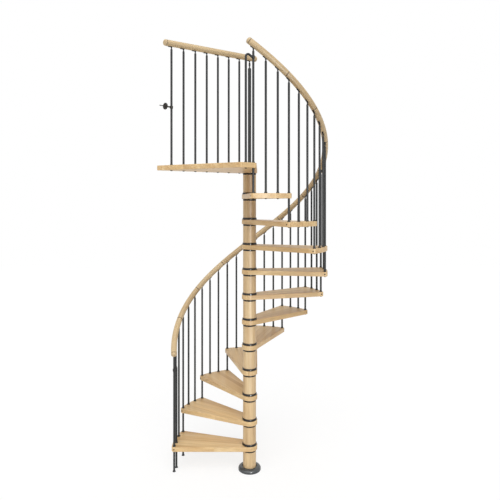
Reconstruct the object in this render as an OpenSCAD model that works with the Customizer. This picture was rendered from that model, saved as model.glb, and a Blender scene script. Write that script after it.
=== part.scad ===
// Spiral staircase: wooden treads and sleeves stacked on one steel tie rod,
// with steel balusters, a round helical handrail and a landing with its own railing.
// The stair climbs clockwise. Z is up and the origin is the pole's axis at floor level.

/* [Stair] */
// Number of treads below the landing
treads = 11; // [7:1:12]
// Height of one rise, tread top to tread top
rise = 226; // [185:1:272]
// Height of the last rise, from the top tread to the landing
landing_rise = 233; // [190:1:280]
// Radius of the tread tips
stair_r = 700; // [580:5:850]
// Turn from one tread to the next, degrees
tread_turn = 24.68; // [22:0.01:27]
// Direction of the first baluster, degrees from +X
start_a = 183.92; // [170:0.01:190]

/* [Treads] */
// Thickness of the treads
tread_t = 40; // [34:1:46]
// Width of a tread's hub beyond the sleeves
hub_rim = 11; // [9:1:16]
// Radius of a tread's outer corners, and the inset of the balusters from the tips
corner_r = 22; // [20:1:25]

/* [Pole] */
// Radius of the wooden sleeves
sleeve_r = 59; // [45:1:75]
// Radius of the steel tie rod
rod_r = 12; // [8:1:16]
// Radial clearance round the tie rod
rod_gap = 0.5; // [0.2:0.1:1]
// Height of the collar on top of a tread
top_collar_h = 18; // [12:1:24]
// Height of the collar under a tread
low_collar_h = 16; // [10:1:22]
// Width of a top collar's foot beyond the sleeves
collar_flare = 7; // [4:1:9]
// Width of a collar's body beyond the sleeves
collar_lip = 1.5; // [0.5:0.5:3]

/* [Base plate] */
// Radius of the base plate
plate_r = 102; // [90:1:125]
// Height of the base plate at its raised ring
plate_h = 34; // [26:1:42]
// Thickness of the base plate under the first sleeve
plate_seat_h = 6; // [4:0.5:9]
// Height of the base plate's upright rim
plate_rim_h = 12; // [8:0.5:16]
// Thickness of the base plate under the tie rod
plate_floor_t = 3; // [2:0.5:3.5]
// Gap between the first sleeve and the raised ring
plate_gap = 3; // [1:0.5:5]
// Width of the flat top of the raised ring
plate_ring_w = 6; // [3:1:12]

/* [Balusters] */
// Baluster spacings on each tread
bars_per_tread = 3; // [2:1:4]
// Radius of a baluster
bar_r = 9; // [7:0.5:11]
// Radius of the neck at a baluster's top
neck_r = 5; // [4:0.5:6]
// Height of that neck
neck_h = 5; // [3:0.5:8]
// Height of the taper below the neck
taper_h = 9; // [5:1:14]
// Radial clearance of a baluster in its holes and collars
bar_gap = 0.25; // [0.15:0.05:0.4]
// Width of the foot of the cone that sits round a baluster on a tread
cone_rim = 4.5; // [4:0.5:7]
// Height of that cone
cone_h = 11; // [8:1:16]
// Width of the cap nut under a tread, beyond its baluster
nut_rim = 1; // [0.5:0.5:3]
// Height of the cap nut
nut_h = 7; // [6:1:12]
// Radius of the grub screws in the tread edges
grub_r = 4; // [3:0.5:5]
// Depth of a grub screw below the wood
grub_recess = 1.5; // [0.5:0.5:3]

/* [Handrail] */
// Radius of both handrails
rail_r = 26; // [21:0.5:31]
// Height of the stair rail's centre over a tread's first baluster
rail_h = 924.5; // [850:0.5:1000]
// Length of the stair rail before the first baluster, in baluster spacings
rail_lead = 0.89; // [0.5:0.01:1.2]
// Length of the stair rail past the last baluster, in baluster spacings
rail_tail = 0.28; // [0.2:0.01:0.5]
// Length of a rounded end cap
cap_len = 26; // [20:1:32]

/* [Rail bracket] */
// Length of the plate under the rail
lug_len = 40; // [32:1:48]
// Width of that plate
lug_w = 14; // [12:1:18]
// Thickness of that plate
lug_t = 4; // [3:0.5:6]
// Length of the plate on the short side of the baluster
lug_back = 8; // [6:1:12]
// Width of the boss beyond the baluster's neck
boss_rim = 1.5; // [0.5:0.5:2.5]
// Height of the boss below the plate
boss_h = 6; // [5:0.5:10]
// Clearance between the plate and the rail
lug_gap = 0.2; // [0.1:0.05:0.3]

/* [Landing] */
// Distance of the landing's outer edge beyond the tread tips
landing_nose = 14; // [0:1:60]
// Angle between the last baluster's line and the railing's line, degrees
landing_turn = 60; // [56:0.5:66]
// Extra radius of the landing's corner at the last baluster
landing_corner_rim = 3; // [0:1:6]
// Turn of the clipped corner's normal from the last baluster's line, degrees
clip_turn = 32.5; // [30:0.5:36]
// Balusters on the landing's railing
landing_bars = 7; // [6:1:7]
// Distance from the last of those balusters to the landing's outer edge
landing_bar_edge = 102; // [40:1:120]
// Height of the landing rail's centre over the landing
landing_rail_h = 1005; // [950:1:1050]
// Distance from the landing rail's outer end to the landing's outer edge
landing_rail_edge = 30; // [0:1:50]
// Length of the landing rail from the axis to its inner end
landing_rail_in = 76; // [50:1:100]
// Radius of the post above the pole
post_r = 15; // [12:0.5:18]
// Height of that post's shoulder over the landing
post_h = 907; // [850:1:915]
// Height of the shoulder's cone
post_shoulder_h = 14; // [10:1:18]
// Height of the collar at the post's foot
post_foot_h = 16; // [12:1:20]
// Width of that collar beyond the post
post_foot_rim = 12; // [6:1:20]

/* [Hoops] */
// Distance between the two uprights of a hoop
hoop_span = 70; // [66:1:74]
// Bend radius of a hoop, at the tube's centre
hoop_bend_r = 24; // [20:1:28]
// Turn of a hoop's bend, degrees
hoop_bend_a = 120; // [105:1:125]
// Height of the first hoop's peak over the first tread
start_hoop_h = 698; // [600:1:800]
// Height of the landing hoop's peak over the landing
landing_hoop_h = 830; // [750:1:870]
// Wall of the ring that ties a hoop to its baluster
tie_wall = 4; // [3:0.5:6]
// Height of that ring
tie_h = 22; // [18:1:28]

/* [Floor legs] */
// Radius of the legs
leg_r = 9; // [7:0.5:11]
// Radius of a leg's foot
foot_r = 14; // [12:0.5:18]
// Height of the foot's rim
foot_rim_h = 4; // [3:0.5:6]
// Height of the whole foot
foot_h = 12; // [9:1:16]

/* [Wall bracket] */
// Height of the wall bracket over the landing
wall_h = 480; // [400:1:600]
// Turn of the bracket's arm from the railing's line, degrees
wall_turn = 16; // [8:1:24]
// Distance from the baluster's axis to the wall
wall_reach = 68; // [60:1:90]
// Radius of the arm
wall_arm_r = 6; // [5:0.5:7]
// Radius of the disc against the wall
wall_disc_r = 27.5; // [23:0.5:33]
// Thickness of that disc
wall_disc_t = 14; // [10:1:18]
// Length of the screw beyond the disc
wall_screw_len = 62; // [40:1:80]
// Radius of the screw
wall_screw_r = 3.5; // [2.5:0.5:4.5]

/* [Hidden] */
$fn = 48;
wood = [0.84, 0.70, 0.49];
dark = [0.20, 0.20, 0.21];
rail_sides = 20;
rail_rings = 8;
tube_sides = 16;
eps = 1;

hub_r = sleeve_r + hub_rim;
collar_r = sleeve_r + collar_lip;
cone_r = bar_r + cone_rim;
nut_r = bar_r + nut_rim;
boss_r = neck_r + boss_rim;
tie_r = bar_r + tie_wall;
landing_reach = stair_r + landing_nose;
landing_corner_r = corner_r + landing_corner_rim;

bars = treads * bars_per_tread;
bar_turn = tread_turn / bars_per_tread;
bar_ring_r = stair_r - corner_r;
landing_z = treads * rise + landing_rise;
last_a = start_a - bars * bar_turn;
railing_a = last_a - landing_turn;
edge_a = last_a - landing_turn / 2;
clip_a = last_a + clip_turn;
rail_z0 = rise + rail_h;
rail_step_z = rise / bars_per_tread;
bar_arc = bar_ring_r * bar_turn * PI / 180;
rail_slope = atan(rail_step_z / bar_arc);
rail_span = bars + rail_lead + rail_tail;
hole_r = bar_r + bar_gap;
bore_r = rod_r + rod_gap;
landing_rail_z = landing_z + landing_rail_h;
railing_len = meet(railing_a - 90, hub_r, edge_a, landing_reach) * at(1, railing_a);
landing_bar_step = (railing_len - landing_bar_edge) / landing_bars;
landing_rail_out = railing_len - landing_rail_edge;

function pad(n) = n < 10 ? str("0", n) : str(n);
tread_names = [for (k = [1:treads]) str("tread_", pad(k))];
rail_names = [for (k = [1:treads]) str("handrail_", pad(k))];

// Places -----------------------------------------------------------------

function at(r, a) = [r * cos(a), r * sin(a)];
function bar_a(i) = start_a - i * bar_turn;
function bar_xy(i) = at(bar_ring_r, bar_a(i));
function rail_xyz(i) = concat(bar_xy(i), rail_z0 + i * rail_step_z);
function railing_xy(t) = at(t * landing_bar_step, railing_a);
function tread_z(k) = k > treads ? landing_z : k * rise;
function unit(v) = v / norm(v);

// First hoop: its second upright stands on the straight line from baluster 0 to the
// first tread's other corner. Landing hoop: it runs along the clipped corner.
start_hoop_a = atan2(bar_xy(bars_per_tread)[1] - bar_xy(0)[1], bar_xy(bars_per_tread)[0] - bar_xy(0)[0]);
landing_hoop_a = clip_a - 90;
start_hoop_xy = bar_xy(0) + at(hoop_span, start_hoop_a);
landing_hoop_xy = bar_xy(bars) + at(hoop_span, landing_hoop_a);

// Shared shapes ------------------------------------------------------------

function arc(c, r, a0, a1, n) = [for (j = [0:n]) c + at(r, a0 + (a1 - a0) * j / n)];

// A solid tube along a list of points. dirs[j] is the path's direction at point j, and
// guide[j] is a direction across it.
module sweep(path, dirs, guide, r, sides) {
    n = len(path);
    us = [for (j = [0:n - 1]) unit(guide[j] - (guide[j] * dirs[j]) * dirs[j])];
    vs = [for (j = [0:n - 1]) cross(dirs[j], us[j])];
    points = [for (j = [0:n - 1], s = [0:sides - 1])
        path[j] + r * (cos(360 * s / sides) * us[j] + sin(360 * s / sides) * vs[j])];
    skin = [for (j = [0:n - 2], s = [0:sides - 1])
        let (a = j * sides + s, b = j * sides + (s + 1) % sides)
        [a, a + sides, b + sides, b]];
    first = [for (s = [0:sides - 1]) s];
    last = [for (s = [sides - 1:-1:0]) (n - 1) * sides + s];
    polyhedron(points, concat([first], skin, [last]));
}

// A ring round the Z axis: bore, foot radius, top radius and height, with a short flat foot.
module flared_ring(bore, foot, top, h, foot_flat) {
    rotate_extrude()
        polygon([[bore, 0], [foot, 0], [foot, foot_flat], [top, h * 0.45], [top, h], [bore, h]]);
}

// Outline of a tread that points along +X.
function tread_outline() = let (
        half = tread_turn / 2,
        side = acos((hub_r - corner_r) / bar_ring_r))
    concat(
        arc([0, 0], hub_r, half + side, 360 - half - side, 24),
        arc(at(bar_ring_r, -half), corner_r, -half - side, -half, 10),
        arc([0, 0], stair_r, -half, half, 16),
        arc(at(bar_ring_r, half), corner_r, half, half + side, 10));

// Where two lines meet, each given by its normal's direction and its distance from the axis.
function meet(a1, d1, a2, d2) = let (det = sin(a2 - a1))
    [(d1 * sin(a2) - d2 * sin(a1)) / det, (d2 * cos(a1) - d1 * cos(a2)) / det];

function landing_outline() = let (
        side = last_a + acos((hub_r - landing_corner_r) / bar_ring_r),
        clip_d = bar_ring_r * cos(clip_a - last_a) + landing_corner_r)
    concat(
        arc([0, 0], hub_r, side, railing_a + 270, 24),
        [meet(railing_a - 90, hub_r, edge_a, landing_reach), meet(edge_a, landing_reach, clip_a, clip_d)],
        arc(bar_xy(bars), landing_corner_r, clip_a, side, 10));

// One baluster from z0 to z1, with its neck on top.
module baluster(z0, z1) {
    rotate_extrude()
        polygon([[0, z0], [bar_r, z0], [bar_r, z1 - neck_h - taper_h], [neck_r, z1 - neck_h],
                 [neck_r, z1], [0, z1]]);
}

// Height of a baluster's top under a rail of this slope.
function bar_top(rail_z, slope) = rail_z - (rail_r + lug_t) / cos(slope) - boss_h;

// Bracket under a rail whose centre is at the origin. The rail climbs along -Y at this slope.
module rail_bracket(slope) {
    drop = (rail_r + lug_t) / cos(slope);
    foot_y = (rail_r + lug_t) * tan(slope);
    difference() {
        union() {
            rotate([-slope, 0, 0])
                translate([-lug_w / 2, foot_y + lug_back - lug_len, -rail_r - lug_t])
                cube([lug_w, lug_len, lug_t + eps]);
            translate([0, 0, -drop - boss_h])
                cylinder(r = boss_r, h = boss_h + drop - rail_r);
        }
        rotate([-slope, 0, 0])
            rotate([90, 0, 0])
            cylinder(r = rail_r + lug_gap, h = 3 * lug_len, center = true, $fn = 64);
    }
}

// Rounded cap: a flat face at the origin and a dome along +Z.
module end_cap() {
    shank = cap_len * 0.3;
    dome = cap_len - shank;
    rotate_extrude()
        polygon(concat([[0, 0], [rail_r, 0]],
            [for (j = [0:8]) [rail_r * cos(j * 11.25), shank + dome * sin(j * 11.25)]]));
}

// Path of a hoop in its own plane: up, over and down to the ring on the baluster at x = span.
function hoop_path(z0, peak) = let (
        r = hoop_bend_r,
        bend_z = peak - r,
        fall = hoop_bend_a - 90,
        bend_end = [r + r * sin(fall), bend_z + r * cos(fall)],
        run_end = hoop_span - bar_r - 8,
        run_z = bend_end[1] - (run_end - bend_end[0]) * tan(fall))
    concat(
        [[0, z0]],
        [for (j = [0:8]) [r - r * cos(j * hoop_bend_a / 8), bend_z + r * sin(j * hoop_bend_a / 8)]],
        [[run_end, run_z], [run_end + 4, run_z - 1.2], [hoop_span - bar_r - bar_gap, run_z - 1.4]]);
function hoop_end_z(peak) = let (p = hoop_path(0, peak)) p[len(p) - 1][1];

// A hoop that stands at foot_xy on height z0 and leans over towards direction a.
module hoop(foot_xy, a, z0, peak) {
    flat = hoop_path(z0, peak);
    dir = at(1, a);
    path = [for (p = flat) [foot_xy[0] + p[0] * dir[0], foot_xy[1] + p[0] * dir[1], p[1]]];
    n = len(path);
    dirs = [for (j = [0:n - 1]) unit(path[min(j + 1, n - 1)] - path[max(j - 1, 0)])];
    across = [-dir[1], dir[0], 0];
    sweep(path, dirs, [for (p = path) across], bar_r, tube_sides);
}

// Pole -----------------------------------------------------------------------

module base_plate() {
    crest_r = sleeve_r + plate_gap + plate_ring_w;
    color(dark)
        rotate_extrude()
        polygon(concat(
            [[0, 0], [plate_r - 2, 0], [plate_r, 2]],
            [for (j = [0:8]) [crest_r + (plate_r - crest_r) * cos(j * 11.25),
                              plate_rim_h + (plate_h - plate_rim_h) * sin(j * 11.25)]],
            [[sleeve_r + plate_gap, plate_h], [sleeve_r + plate_gap, plate_seat_h],
             [bore_r, plate_seat_h], [bore_r, plate_floor_t], [0, plate_floor_t]]));
}

module tie_rod() {
    color("silver")
        translate([0, 0, plate_floor_t])
        cylinder(r = rod_r, h = landing_z - plate_floor_t);
}

// One sleeve under each tread and one under the landing
module pole_sleeves() {
    for (k = [1:treads + 1]) {
        z0 = k == 1 ? plate_seat_h : tread_z(k - 1) + top_collar_h;
        z1 = tread_z(k) - tread_t - low_collar_h;
        color(wood)
            translate([0, 0, z0])
            difference() {
                cylinder(r = sleeve_r, h = z1 - z0, $fn = 96);
                translate([0, 0, -eps]) cylinder(r = bore_r, h = z1 - z0 + 2 * eps);
            }
    }
}

module top_collars() {
    for (k = [1:treads])
        color(dark)
            translate([0, 0, tread_z(k)])
            flared_ring(bore_r, sleeve_r + collar_flare, collar_r, top_collar_h, 3, $fn = 96);
}

module low_collars() {
    for (k = [1:treads + 1])
        color(dark)
            translate([0, 0, tread_z(k) - tread_t - low_collar_h])
            difference() {
                cylinder(r = collar_r, h = low_collar_h, $fn = 96);
                translate([0, 0, -eps]) cylinder(r = bore_r, h = low_collar_h + 2 * eps);
            }
}

// Treads and landing -----------------------------------------------------------

// A through hole at xy, cut down from height z
module hole(xy, z, r) {
    translate([xy[0], xy[1], z - tread_t - eps]) cylinder(r = r, h = tread_t + 2 * eps);
}

// Direction of the grub screw at one end of a tread: sign is +1 at its first baluster
function grub_a(i, sign) = bar_a(i) + sign * acos((hub_r - corner_r) / bar_ring_r);

module tread(k) {
    first = (k - 1) * bars_per_tread;
    z = tread_z(k);
    color(wood)
        difference() {
            translate([0, 0, z - tread_t])
                rotate([0, 0, (bar_a(first) + bar_a(first + bars_per_tread)) / 2])
                linear_extrude(tread_t) polygon(tread_outline());
            hole([0, 0], z, bore_r);
            for (i = [first:first + bars_per_tread]) hole(bar_xy(i), z, hole_r);
            if (k == 1) hole(start_hoop_xy, z, hole_r);
            for (end = [[first, 1], [first + bars_per_tread, -1]])
                translate([bar_xy(end[0])[0], bar_xy(end[0])[1], z - tread_t / 2])
                rotate([0, 90, grub_a(end[0], end[1])])
                rotate([0, 0, 45])
                cylinder(r = grub_r, h = corner_r + eps);
        }
}

module landing() {
    color(wood)
        difference() {
            translate([0, 0, landing_z - tread_t]) linear_extrude(tread_t) polygon(landing_outline());
            hole([0, 0], landing_z, bore_r);
            hole(bar_xy(bars), landing_z, hole_r);
            hole(landing_hoop_xy, landing_z, hole_r);
            for (t = [1:landing_bars]) hole(railing_xy(t), landing_z, hole_r);
        }
}

module edge_screws() {
    for (k = [1:treads], end = [[(k - 1) * bars_per_tread, 1], [k * bars_per_tread, -1]])
        color(dark)
            translate([bar_xy(end[0])[0], bar_xy(end[0])[1], tread_z(k) - tread_t / 2])
            rotate([0, 90, grub_a(end[0], end[1])])
            translate([0, 0, hole_r])
            cylinder(r = grub_r - 0.2, h = corner_r - grub_recess - hole_r);
}

// Balusters ----------------------------------------------------------------------

// Balusters at the tread corners run from the lower tread's underside to the rail
module corner_balusters() {
    for (k = [0:treads]) {
        i = k * bars_per_tread;
        z0 = tread_z(max(k, 1)) - tread_t;
        color(dark)
            translate(bar_xy(i))
            baluster(z0, bar_top(rail_xyz(i)[2], rail_slope));
    }
}

module tread_balusters() {
    for (k = [1:treads], j = [1:bars_per_tread - 1]) {
        i = (k - 1) * bars_per_tread + j;
        color(dark)
            translate(bar_xy(i))
            baluster(tread_z(k) - tread_t, bar_top(rail_xyz(i)[2], rail_slope));
    }
}

module landing_balusters() {
    for (t = [1:landing_bars])
        color(dark)
            translate(railing_xy(t))
            baluster(landing_z - tread_t, bar_top(landing_rail_z, 0));
}

module cone_at(xy, z) {
    color(dark)
        translate([xy[0], xy[1], z])
        flared_ring(hole_r, cone_r, bar_r + 2.5, cone_h, 2);
}

module baluster_cones() {
    for (k = [1:treads], j = [0:bars_per_tread]) cone_at(bar_xy((k - 1) * bars_per_tread + j), tread_z(k));
    for (t = [1:landing_bars]) cone_at(railing_xy(t), landing_z);
    cone_at(bar_xy(bars), landing_z);
    cone_at(start_hoop_xy, tread_z(1));
    cone_at(landing_hoop_xy, landing_z);
}

module nut_at(xy, z) {
    color(dark)
        translate([xy[0], xy[1], z - nut_h])
        rotate_extrude()
        polygon([[0, 0], [nut_r - 4, 0], [nut_r - 1, 2], [nut_r, 5], [nut_r, nut_h], [0, nut_h]]);
}

// Cap nuts under every baluster that ends at a tread, apart from the legs' places
module cap_nuts() {
    for (k = [1:treads], j = [1:bars_per_tread])
        if (k > 1 || j < bars_per_tread) nut_at(bar_xy((k - 1) * bars_per_tread + j), tread_z(k) - tread_t);
    for (t = [1:landing_bars]) nut_at(railing_xy(t), landing_z - tread_t);
    nut_at(landing_hoop_xy, landing_z - tread_t);
}

module stair_rail_brackets() {
    for (i = [0:bars])
        color(dark)
            translate(rail_xyz(i))
            rotate([0, 0, bar_a(i)])
            rail_bracket(rail_slope);
}

module landing_rail_brackets() {
    for (t = [0:landing_bars])
        color(dark)
            translate([railing_xy(t)[0], railing_xy(t)[1], landing_rail_z])
            rotate([0, 0, railing_a + 90])
            rail_bracket(0);
}

// Handrails ------------------------------------------------------------------------

function rail_joint(k) = -rail_lead + k * rail_span / treads;
function rail_dir(i) = unit(concat(bar_arc * [sin(bar_a(i)), -cos(bar_a(i))], rail_step_z));

module handrail(k) {
    marks = [for (j = [0:rail_rings]) rail_joint(k - 1) + j * rail_span / treads / rail_rings];
    color(wood)
        sweep([for (i = marks) rail_xyz(i)], [for (i = marks) rail_dir(i)],
              [for (i = marks) concat(at(1, bar_a(i)), 0)], rail_r, rail_sides);
}

module landing_handrail() {
    color(wood)
        translate([0, 0, landing_rail_z])
        rotate([0, 90, railing_a])
        translate([0, 0, cap_len - landing_rail_in])
        cylinder(r = rail_r, h = landing_rail_in + landing_rail_out - 2 * cap_len, $fn = 64);
}

// Rounded caps on both ends of both rails
module handrail_caps() {
    for (end = [[rail_joint(0), -1], [rail_joint(treads), 1]]) {
        d = end[1] * rail_dir(end[0]);
        color(wood)
            translate(rail_xyz(end[0]))
            rotate([0, acos(d[2]), atan2(d[1], d[0])])
            end_cap($fn = 64);
    }
    for (end = [[cap_len - landing_rail_in, -90], [landing_rail_out - cap_len, 90]])
        color(wood)
            translate(concat(at(end[0], railing_a), landing_rail_z))
            rotate([0, end[1], railing_a])
            end_cap($fn = 64);
}

// The post above the pole ends in a shoulder, a thin neck and a short spindle
module landing_post() {
    z = landing_z;
    neck_z = z + post_h + post_shoulder_h;
    top = bar_top(landing_rail_z, 0);
    color(dark)
        rotate_extrude()
        polygon([[0, z], [post_r + post_foot_rim, z], [post_r + post_foot_rim, z + 4], [post_r, z + post_foot_h],
                 [post_r, z + post_h], [neck_r, neck_z], [neck_r, neck_z + 4], [bar_r, neck_z + 12],
                 [bar_r, top - neck_h - taper_h], [neck_r, top - neck_h], [neck_r, top], [0, top]]);
}

// Hoops, legs and wall bracket --------------------------------------------------------

module start_hoop() {
    color(dark) hoop(start_hoop_xy, start_hoop_a + 180, tread_z(1) - tread_t, tread_z(1) + start_hoop_h);
}

module landing_hoop() {
    color(dark) hoop(landing_hoop_xy, landing_hoop_a + 180, landing_z - tread_t, landing_z + landing_hoop_h);
}

// Ring on a baluster, open on the side where the hoop's end comes in
module tie_ring(xy, a, z) {
    color(dark)
        translate([xy[0], xy[1], z])
        difference() {
            cylinder(r = tie_r, h = tie_h, center = true);
            cylinder(r = hole_r, h = tie_h + eps, center = true);
            rotate([0, 90, a]) cylinder(r = bar_r + bar_gap, h = tie_r + eps);
        }
}

module hoop_ties() {
    tie_ring(bar_xy(0), start_hoop_a, hoop_end_z(tread_z(1) + start_hoop_h));
    tie_ring(bar_xy(bars), landing_hoop_a, hoop_end_z(landing_z + landing_hoop_h));
}

module floor_legs() {
    z1 = tread_z(1) - tread_t;
    for (xy = [bar_xy(0), start_hoop_xy, bar_xy(bars_per_tread)])
        color(dark)
            translate(xy)
            rotate_extrude()
            polygon([[0, 0], [foot_r, 0], [foot_r, foot_rim_h], [leg_r, foot_h], [leg_r, z1], [0, z1]]);
}

module wall_bracket() {
    color(dark)
        translate([railing_xy(landing_bars)[0], railing_xy(landing_bars)[1], landing_z + wall_h])
        difference() {
            union() {
                cylinder(r = tie_r, h = tie_h, center = true);
                rotate([0, 90, railing_a + wall_turn]) {
                    cylinder(r = wall_arm_r, h = wall_reach - wall_disc_t / 2);
                    translate([0, 0, wall_reach - wall_disc_t]) cylinder(r = wall_disc_r, h = wall_disc_t);
                }
            }
            cylinder(r = hole_r, h = tie_h + eps, center = true);
        }
}

module wall_screw() {
    color(dark)
        translate([railing_xy(landing_bars)[0], railing_xy(landing_bars)[1], landing_z + wall_h])
        rotate([0, 90, railing_a + wall_turn])
        translate([0, 0, wall_reach])
        rotate_extrude()
        polygon([[0, 0], [wall_screw_r, 0], [wall_screw_r, wall_screw_len - 8], [0, wall_screw_len]]);
}

// The stair ---------------------------------------------------------------------------

base_plate();
tie_rod();
pole_sleeves();
top_collars();
low_collars();
for (k = [1:treads]) tread(k);
landing();
corner_balusters();
tread_balusters();
landing_balusters();
baluster_cones();
cap_nuts();
edge_screws();
stair_rail_brackets();
landing_rail_brackets();
for (k = [1:treads]) handrail(k);
landing_handrail();
handrail_caps();
landing_post();
start_hoop();
landing_hoop();
hoop_ties();
floor_legs();
wall_bracket();
wall_screw();
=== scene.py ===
"""Looks of a spiral staircase: varnished beech treads, sleeves and rails, and charcoal steel.

Everything is in metres in the CAD frame: Z up, the origin on the pole's axis at floor level.
"""

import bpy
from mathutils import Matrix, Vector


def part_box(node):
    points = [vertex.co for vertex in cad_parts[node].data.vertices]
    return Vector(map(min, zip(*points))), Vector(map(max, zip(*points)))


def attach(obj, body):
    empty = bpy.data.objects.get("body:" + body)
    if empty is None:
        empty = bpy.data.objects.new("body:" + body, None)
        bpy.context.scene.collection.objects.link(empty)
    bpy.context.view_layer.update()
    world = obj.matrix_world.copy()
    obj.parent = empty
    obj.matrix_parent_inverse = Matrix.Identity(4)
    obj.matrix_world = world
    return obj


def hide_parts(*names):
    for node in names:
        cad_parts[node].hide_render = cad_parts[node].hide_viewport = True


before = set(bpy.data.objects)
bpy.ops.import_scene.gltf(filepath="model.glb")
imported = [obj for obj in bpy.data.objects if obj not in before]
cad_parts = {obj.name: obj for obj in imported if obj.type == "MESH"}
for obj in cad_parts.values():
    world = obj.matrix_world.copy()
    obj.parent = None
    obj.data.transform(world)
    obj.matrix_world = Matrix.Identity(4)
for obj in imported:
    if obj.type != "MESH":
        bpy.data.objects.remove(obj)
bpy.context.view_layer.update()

from math import acos, atan, atan2, cos, hypot, pi, radians, sin, tan

import bmesh
import bpy
from mathutils import Matrix, Vector

# Layout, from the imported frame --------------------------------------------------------

WELD = 1e-5


def solids(node):
    """(low corner, high corner) of each separate solid in a CAD node, lowest top first."""
    bm = bmesh.new()
    bm.from_mesh(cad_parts[node].data)
    bmesh.ops.remove_doubles(bm, verts=bm.verts, dist=WELD)
    left, boxes = set(bm.verts), []
    while left:
        todo, places = [left.pop()], []
        while todo:
            vert = todo.pop()
            places.append(vert.co.copy())
            for edge in vert.link_edges:
                other = edge.other_vert(vert)
                if other in left:
                    left.remove(other)
                    todo.append(other)
        axes = [sorted(p[k] for p in places) for k in range(3)]
        boxes.append((Vector(a[0] for a in axes), Vector(a[-1] for a in axes)))
    bm.free()
    return sorted(boxes, key=lambda box: (box[1].z, *box[0]))


def foot(box):
    """Centre of a box's underside."""
    low, high = box
    return Vector(((low.x + high.x) / 2, (low.y + high.y) / 2, low.z))


def spread(box):
    """Radius and height of a turned solid, from its box."""
    low, high = box
    return (high.x - low.x) / 2, high.z - low.z


TREADS = sum(name.startswith("tread_") and name[6:].isdigit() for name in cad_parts)
BARS_PER_TREAD = 3
BARS = TREADS * BARS_PER_TREAD
tread_top = [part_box(f"tread_{k:02d}")[1].z for k in range(1, TREADS + 1)]
TREAD_T = tread_top[0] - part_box("tread_01")[0].z
RISE = tread_top[1] - tread_top[0]
LANDING_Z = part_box("landing")[1].z

corner_bars = solids("corner_balusters")
landing_bars = sorted(solids("landing_balusters"), key=lambda box: hypot(*foot(box).xy))
first_bar, second_bar = foot(corner_bars[0]), foot(corner_bars[1])
RING_R = hypot(*first_bar.xy)
START_A = atan2(first_bar.y, first_bar.x)
TURN = (START_A - atan2(second_bar.y, second_bar.x)) % (2 * pi)
BAR_TURN = TURN / BARS_PER_TREAD
LAST_A = START_A - BARS * BAR_TURN
last_bar = foot(landing_bars[-1])
LANDING_TURN = (LAST_A - atan2(last_bar.y, last_bar.x)) % (2 * pi)
RAILING_A = LAST_A - LANDING_TURN
LANDING_RAIL_Z = sum(corner.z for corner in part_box("landing_handrail")) / 2

# Sizes that the boxes don't give, in metres -------------------------------------------

HUB_R = 0.070
CORNER_R = 0.022
TIP_R = RING_R + CORNER_R
SLEEVE_R = 0.059
BORE_R = 0.0125
BAR_R = 0.009
NECK_R, NECK_H, TAPER_H = 0.005, 0.005, 0.009
RAIL_R = 0.026
RAIL_UP = 0.9245
RAIL_LEAD, RAIL_TAIL = 0.89, 0.28
CAP_LEN = 0.026
LUG_LEN, LUG_W, LUG_T, LUG_BACK = 0.040, 0.014, 0.004, 0.008
BOSS_R, BOSS_H = 0.0065, 0.006
LANDING_REACH = TIP_R + 0.014
LANDING_CORNER_R = CORNER_R + 0.003
CLIP_TURN = radians(32.5)
HOOP_SPAN, HOOP_BEND_R, HOOP_BEND_A = 0.070, 0.024, radians(120)
WALL_TURN, WALL_REACH = radians(16), 0.068
GRUB_R, GRUB_RECESS, GRUB_RIM = 0.004, 0.0028, 0.0022

EDGE_R = 0.003
JOINT_GROOVE, JOINT_DEPTH = 0.0032, 0.0022
STAVE_W, SLIM_STAVE_W = 0.046, 0.030


def polar(r, a, z=0.0):
    return Vector((r * cos(a), r * sin(a), z))


def bar_a(i):
    return START_A - i * BAR_TURN


def bar_place(i, z):
    return polar(RING_R, bar_a(i), z)


def rail_z(i):
    """Height of the stair's rail over baluster i, at the rail's centre."""
    return tread_top[0] + RAIL_UP + i * RISE / BARS_PER_TREAD


RAIL_SLOPE = atan(RISE / (RING_R * TURN))

# Mesh helpers -------------------------------------------------------------------------


class Shape:
    """A mesh in the making. Each vertex can keep its place in the timber, for the grain."""

    def __init__(self):
        self.bm = bmesh.new()
        self.grain = self.bm.verts.layers.float_vector.new("grain")

    def vert(self, place, grain=(0, 0, 0)):
        vert = self.bm.verts.new(place)
        vert[self.grain] = grain
        return vert

    def face(self, verts):
        if len(set(verts)) > 2:
            self.bm.faces.new(verts)

    def stain(self, rings):
        """Gives the faces between these rings the object's second material."""
        near = {vert for ring in rings for vert in ring}
        for face in {face for vert in near for face in vert.link_faces}:
            if near.issuperset(face.verts):
                face.material_index = 1

    def skin(self, rings, wrap=False):
        """Faces between rings of as many vertices, or of one vertex at a pole."""
        pairs = list(zip(rings, rings[1:]))
        if wrap:
            pairs.append((rings[-1], rings[0]))
        for low, high in pairs:
            count = max(len(low), len(high))
            for s in range(count):
                t = (s + 1) % count
                around = [low[s % len(low)], low[t % len(low)],
                          high[t % len(high)], high[s % len(high)]]
                self.face(list(dict.fromkeys(around)))


def facing(direction, origin=(0, 0, 0)):
    """Matrix that takes local Z to a direction, at an origin."""
    return Matrix.Translation(origin) @ Vector(direction).to_track_quat("Z", "Y").to_matrix().to_4x4()


def standing(place, turn=0.0):
    return Matrix.Translation(place) @ Matrix.Rotation(turn, 4, "Z")


def swing(turn, steps):
    """Angles in even steps from 0 to turn."""
    return [turn * k / steps for k in range(steps + 1)]


def fillet(profile, radius, steps=4):
    """A polyline with its inner corners rounded, as far as its sides allow."""
    made = [Vector(profile[0])]
    for before, corner, after in zip(profile, profile[1:], profile[2:]):
        corner = Vector(corner)
        back, on = Vector(before) - corner, Vector(after) - corner
        reach = min(radius, 0.45 * back.length, 0.45 * on.length)
        start, end = corner + back.normalized() * reach, corner + on.normalized() * reach
        for k in range(steps + 1):
            t = k / steps
            made.append(start * (1 - t) ** 2 + corner * 2 * t * (1 - t) + end * t * t)
    return made + [Vector(profile[-1])]


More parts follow.
